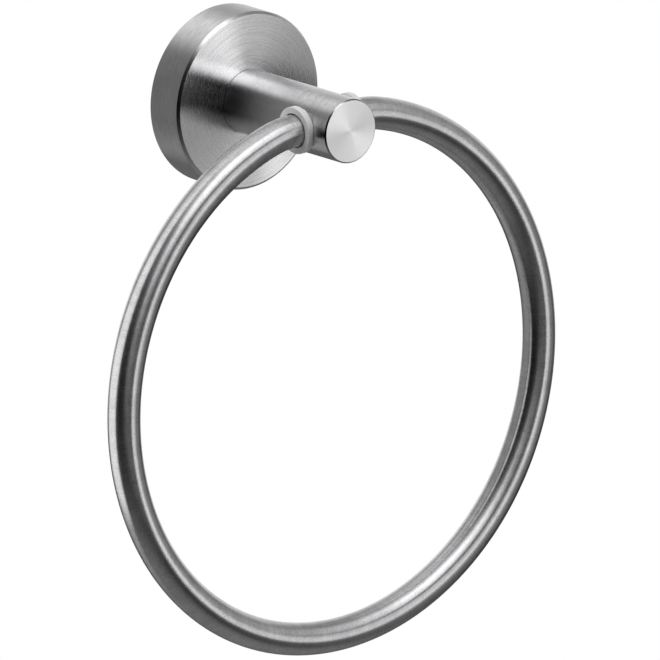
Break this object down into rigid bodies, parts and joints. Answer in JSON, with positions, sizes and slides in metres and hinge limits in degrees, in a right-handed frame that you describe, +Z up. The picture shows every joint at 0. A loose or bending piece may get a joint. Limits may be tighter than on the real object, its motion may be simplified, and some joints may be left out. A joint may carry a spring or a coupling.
{
  "type": "towel ring",
  "caption": "Wall-mounted towel ring: a round steel tube ring swings in nylon bushes in a post that stands on a round base.",
  "frame": {"origin": "middle of the base's back face, on the wall", "axes": "+Z up, +Y into the wall, the post stands out along -Y and the ring hangs along -Z"},
  "size_m": [0.172, 0.062, 0.1929],
  "materials": {
    "base_steel": "turned and fine brushed",
    "post_steel": "turned and fine brushed",
    "ring_steel": "brushed along the tube",
    "nylon": "natural white, moulded",
    "plate_steel": "plain rolled sheet",
    "screw_steel": "bright, as made"
  },
  "bodies": {
    "bracket": {"base": "base_steel", "post": "post_steel", "left_bush": "nylon", "right_bush": "nylon", "post_screw": "screw_steel", "lock_washer": "screw_steel", "wall_plate": "plate_steel", "set_screw": "screw_steel"},
    "swing_ring": {"ring": "ring_steel"}
  },
  "joints": [
    {"name": "ring_swing", "type": "hinge", "parent": "bracket", "child": "swing_ring", "pos_m": [0, -0.049, 0], "axis": [-1, 0, 0], "range_deg": [-15, 195]}
  ]
}
